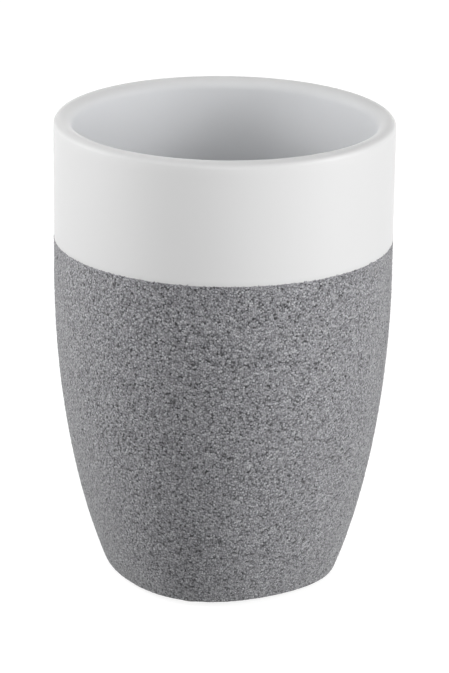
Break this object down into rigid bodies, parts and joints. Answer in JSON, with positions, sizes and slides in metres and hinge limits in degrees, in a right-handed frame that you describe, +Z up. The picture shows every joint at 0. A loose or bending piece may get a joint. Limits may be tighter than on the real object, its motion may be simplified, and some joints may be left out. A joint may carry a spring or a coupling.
{
  "type": "bathroom tumbler",
  "caption": "Bathroom tumbler for brushes and rinsing: smooth satin white rim band, rough grey stone-effect coat below it, and a soft square base that grows round towards the rim.",
  "frame": {"origin": "middle of the footprint, on the surface that the tumbler stands on", "axes": "+Z up through the middle of the cup; X and Y through the middles of the soft square base's sides"},
  "size_m": [0.0786, 0.0786, 0.11],
  "materials": {
    "white_glaze": "satin",
    "stone_grit": "matte",
    "soft_pad": "matte"
  },
  "bodies": {
    "root": {"cup": "white_glaze", "stone_coat": "stone_grit", "foot_pads": "soft_pad"}
  },
  "joints": []
}
